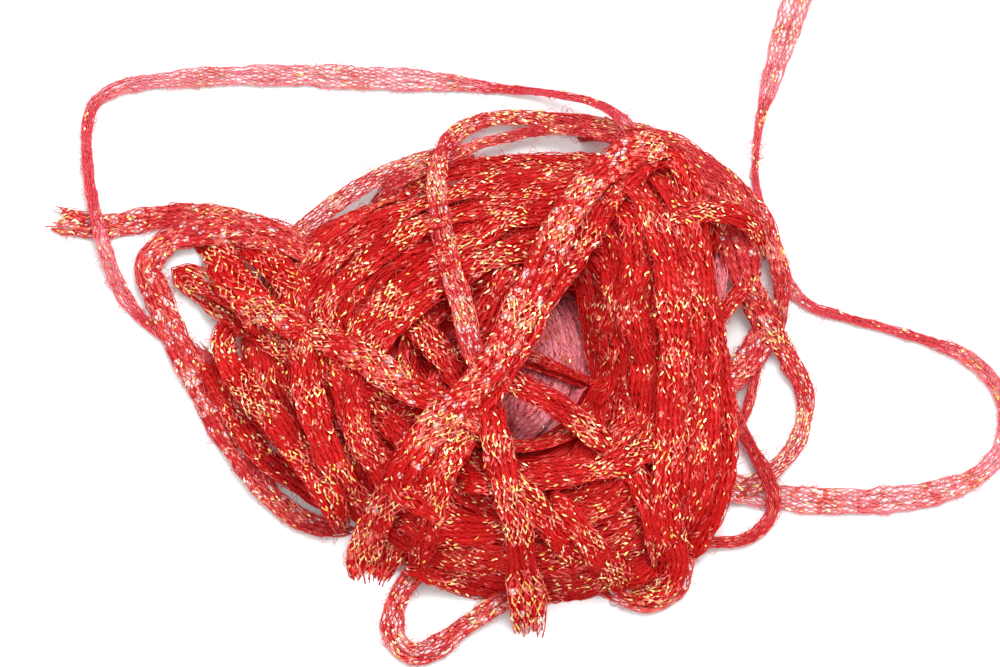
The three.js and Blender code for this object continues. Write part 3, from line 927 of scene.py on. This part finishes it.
# The crossings of the hole
# Two lengths of the same braid, drawn narrow, that hang across the hole of the ring from one side to the
# other, their ends tucked in under the turns there.
CROSSING_LENGTHS = {
    "hole_cross": {"spread": 0.35, "glint": 0.1, "through": [
        [-29, -11, 16], [-15, -13, 13], [-2, -14, 10.5], [7, -18, 9.5], [16, -22, 9.5], [27, -30, 12],
        [39, -43, 16],
    ]},
    "hole_cross_beside": {"spread": 0.35, "glint": 0.1, "through": [
        [-17, -15, 12], [-3, -16, 9], [6, -19, 8.5], [15, -23, 8.5], [25, -31, 10],
    ]},
}
lay_lengths(rng, "hank_hole_crossings", CROSSING_LENGTHS, stacked_nylon)

# The open lengths at the edge of the hank
# Loops of the same braid that hang out of the heap and lie half on the table, so that more light comes
# through them, painted into their lighter red; they are held by their ends in the heap.
OPEN_LENGTHS = {
    "hoop": {"spread": (0.6, 0.55, 0.6, 0.75, 0.8), "glint": 1.1, "blush": 0.3,
     "pale": (0.45, 0.45, 0.75, 0.65), "through": [
        [39, 53, 9], [30, 56, 7], [21, 58.5, 5], [9, 60.8, 3], [-4, 61.8, 3], [-14, 60.5, 3.5],
        [-20, 57, 5], [-25, 49, 9], [-27, 37, 14], [-26, 24, 18], [-24, 12, 20], [-20, -3, 22],
        [-17, -17, 23.5], [-12, -31, 24],
    ]},
    "hoop_inner": {"spread": (0.35, 0.4, 0.6), "glint": 0.4, "blush": 0.3, "pale": 0.7, "through": [
        [25, 53, 9], [16, 55.5, 7], [8, 57, 5], [1, 57, 4], [-7, 55, 4], [-15, 52.5, 5], [-22, 48, 7],
        [-30, 44, 8], [-38, 40, 8], [-45, 35, 8],
    ]},
    "arc_outer": {"spread": (0.6, 0.7), "glint": 0.6, "blush": 0.4, "pale": (1, 0.95), "through": [
        [-17, 49, 7], [-29, 48, 6], [-39, 44, 6], [-50, 38, 6], [-59, 31, 6], [-67, 24, 6], [-73, 15, 6.5],
        [-76, 5, 8],
    ]},
    "corner_fold": {"spread": (0.6, 0.8), "glint": 0.2, "blush": 0.2, "pale": (0.15, 0.2), "through": [
        [14, 57, 4], [24, 54, 9], [32, 51.5, 12.5], [42, 49, 12.5], [50, 42, 12], [58, 33, 11], [62, 22, 9],
    ]},
    "outer_right": {"spread": (0.8, 0.7, 0.5), "glint": 0.3, "blush": 0.35, "pale": (0.3, 0.6),
     "through": [
        [43, 49, 10], [51, 43.5, 9], [59.5, 36, 8], [66, 28, 6.5], [69, 20, 5], [71, 12, 4], [71, 5, 3.4],
        [70, -3, 2.6],
    ]},
    "left_border": {"spread": (1, 1, 0.95, 0.6), "glint": 0.3, "blush": 0.3,
     "pale": (0.3, 0.5, 0.6, 0.5, 0.4), "through": [
        [-57, 13, 11], [-71, 21, 8], [-83, 25, 5], [-94, 26, 3.6], [-104, 23, 3], [-109, 16, 2.6],
        [-106, 6, 2.2], [-101, -6, 1.8], [-94, -20, 1.5], [-86, -36, 1.4], [-78, -48, 1.3], [-69, -58, 1.3],
        [-60, -63, 1.6], [-51, -64, 4],
    ]},
    "right_arc": {"spread": (1.5, 1.5, 1.1, 0.9, 0.75, 0.5, 0.6, 0.8), "glint": 0.7, "blush": 0.25,
     "pale": (0.2, 0.2, 0.5, 1, 1), "through": [
        [33, 39, 15], [44, 35, 14], [52, 30, 12], [57, 24, 9.5], [59, 17, 7.5], [61, 9, 6], [64, 3, 4.5],
        [67, -3, 3.2], [71, -9, 2.4], [74, -15, 1.8], [77, -22, 1.6], [77, -30, 1.5], [75, -37, 1.6],
        [71, -43, 2], [66, -48, 2.5], [60, -52, 3], [56, -53, 5],
    ]},
    "right_branch": {"spread": 1, "glint": 0.5, "blush": 0.35, "pale": (0.6, 0.5), "through": [
        [68, 1, 4], [66, -5, 3.4], [63, -11, 3], [58, -17, 4], [53, -23, 7], [46, -27, 9],
    ]},
    "right_thin_loop": {"spread": (0.45, 0.4), "glint": 0.1, "pale": (0.25, 0.4), "through": [
        [46, -17, 11], [53, -21, 8], [55, -25, 6], [59, -34, 3.5], [63, -42, 2.4], [66, -48, 3.2],
        [68, -55, 2.6], [67, -60, 1.5], [64, -64, 1.4], [59, -67, 1.4], [51, -68, 2], [45, -69, 3.5],
        [38, -74, 6],
    ]},
    "right_strand": {"spread": 0.3, "glint": 0.1, "pale": (0.25, 0.3), "through": [
        [65, -10, 3], [63, -19, 2.4], [61, -27, 2.4], [58, -35, 3], [54, -43, 6], [48, -52, 9],
    ]},
    "lower_right_fold": {"spread": (0.8, 0.9, 0.8), "glint": 0.7, "blush": 0.45,
     "pale": (0.5, 0.8, 0.5), "through": [
        [17, -74, 6], [20, -79.5, 2.5], [27, -83.5, 1.6], [34, -84.5, 1.5], [39.5, -81.5, 1.6],
        [42, -75, 3], [43, -67, 6],
    ]},
    "bottom_loop": {"spread": 0.75, "glint": 0.5, "blush": 0.3, "pale": 0.8, "through": [
        [-30, -75, 6], [-35, -80, 3], [-38, -86, 1.6], [-39, -92, 1.3], [-38, -97, 1.2], [-33, -101, 1.2],
        [-27, -99, 1.2], [-22, -95, 1.4], [-15, -90, 1.8], [-9, -86, 3], [-3, -83, 5],
    ]},
}
lay_lengths(rng, "hank_open_lengths", OPEN_LENGTHS, lapped_nylon)

# The floor of the hank
# The lowest turns of the same braid, seen in the hole of the ring and in the slit at its right: they lie
# in few layers, so they are painted pale for the table's light through them, and the heap above holds their
# ends.
FLOOR_LENGTHS = {
    "hole_floor_left": {"spread": 1.1, "glint": 0.05, "in_hole": True, "through": [
        [-3, 6, 5], [-1, -8, 7], [-2, -18, 7], [-6, -28, 7], [-14, -40, 5],
    ]},
    "hole_floor": {"spread": 1.1, "glint": 0.05, "in_hole": True, "through": [
        [0, 8, 5], [5, -5, 7], [7, -20, 7], [-3, -36, 7], [-10, -42, 5],
    ]},
    "hole_floor_middle": {"spread": 1.1, "glint": 0.05, "in_hole": True, "through": [
        [8, 7, 5], [13, -8, 7], [12, -24, 7], [-1, -42, 5],
    ]},
    "hole_floor_right": {"spread": 1.1, "glint": 0.05, "in_hole": True, "through": [
        [16, 7, 5], [20, -8, 7], [15, -27, 7], [5, -44, 5],
    ]},
    "right_slit_floor": {"spread": 0.9, "glint": 0.05, "through": [
        [47, 29, 6], [50, 21, 6.5], [52, 12, 6.5], [51, 4, 6.5], [47, -5, 5], [42, -12, 4],
    ]},
}
lay_lengths(rng, "hank_floor_lengths", FLOOR_LENGTHS, single_nylon)

# The table
# A plain white surface, matt, that runs past the frame on every side.
TABLE_SIZE = 60.0  # metres
TABLE_MOTTLE = 250 * MM
WHITES = [(0.3, "#e9e7e8"), (0.7, "#ebeaea")]
white_board = plain_material("white_matt_board", TABLE_MOTTLE, WHITES, detail=2.0, Roughness=0.9)
table_mesh = bpy.data.meshes.new("table")
reach = TABLE_SIZE / 2
table_mesh.from_pydata(
    [(-reach, -reach, 0), (reach, -reach, 0), (reach, reach, 0), (-reach, reach, 0)], [], [(0, 1, 2, 3)]
)
table_mesh.materials.append(white_board)
table = bpy.data.objects.new("table", table_mesh)
bpy.context.scene.collection.objects.link(table)

# The light
# A white room's even light from all round, and one broad soft lamp, far behind and to the right, so that
# the heap's soft shadow falls to the front left and the table is as bright far away as near.
ROOM_LIGHT = 1.25
LAMP_LIGHT = 2.6
LAMP_BREADTH = math.radians(40)
LAMP_SIDE = Vector((0.35, 0.5, 0.9))
room = bpy.data.worlds.new("white_room")
room.use_nodes = True
room.node_tree.nodes["Background"].inputs["Color"].default_value = (1, 1, 1, 1)
room.node_tree.nodes["Background"].inputs["Strength"].default_value = ROOM_LIGHT
bpy.context.scene.world = room
lamp_data = bpy.data.lights.new("soft_lamp", "SUN")
lamp_data.energy = LAMP_LIGHT
lamp_data.angle = LAMP_BREADTH
soft_lamp = bpy.data.objects.new("soft_lamp", lamp_data)
soft_lamp.rotation_mode = "QUATERNION"
soft_lamp.rotation_quaternion = (-LAMP_SIDE).to_track_quat("-Z", "Y")
bpy.context.scene.collection.objects.link(soft_lamp)
bpy.context.scene.view_settings.view_transform = "Standard"
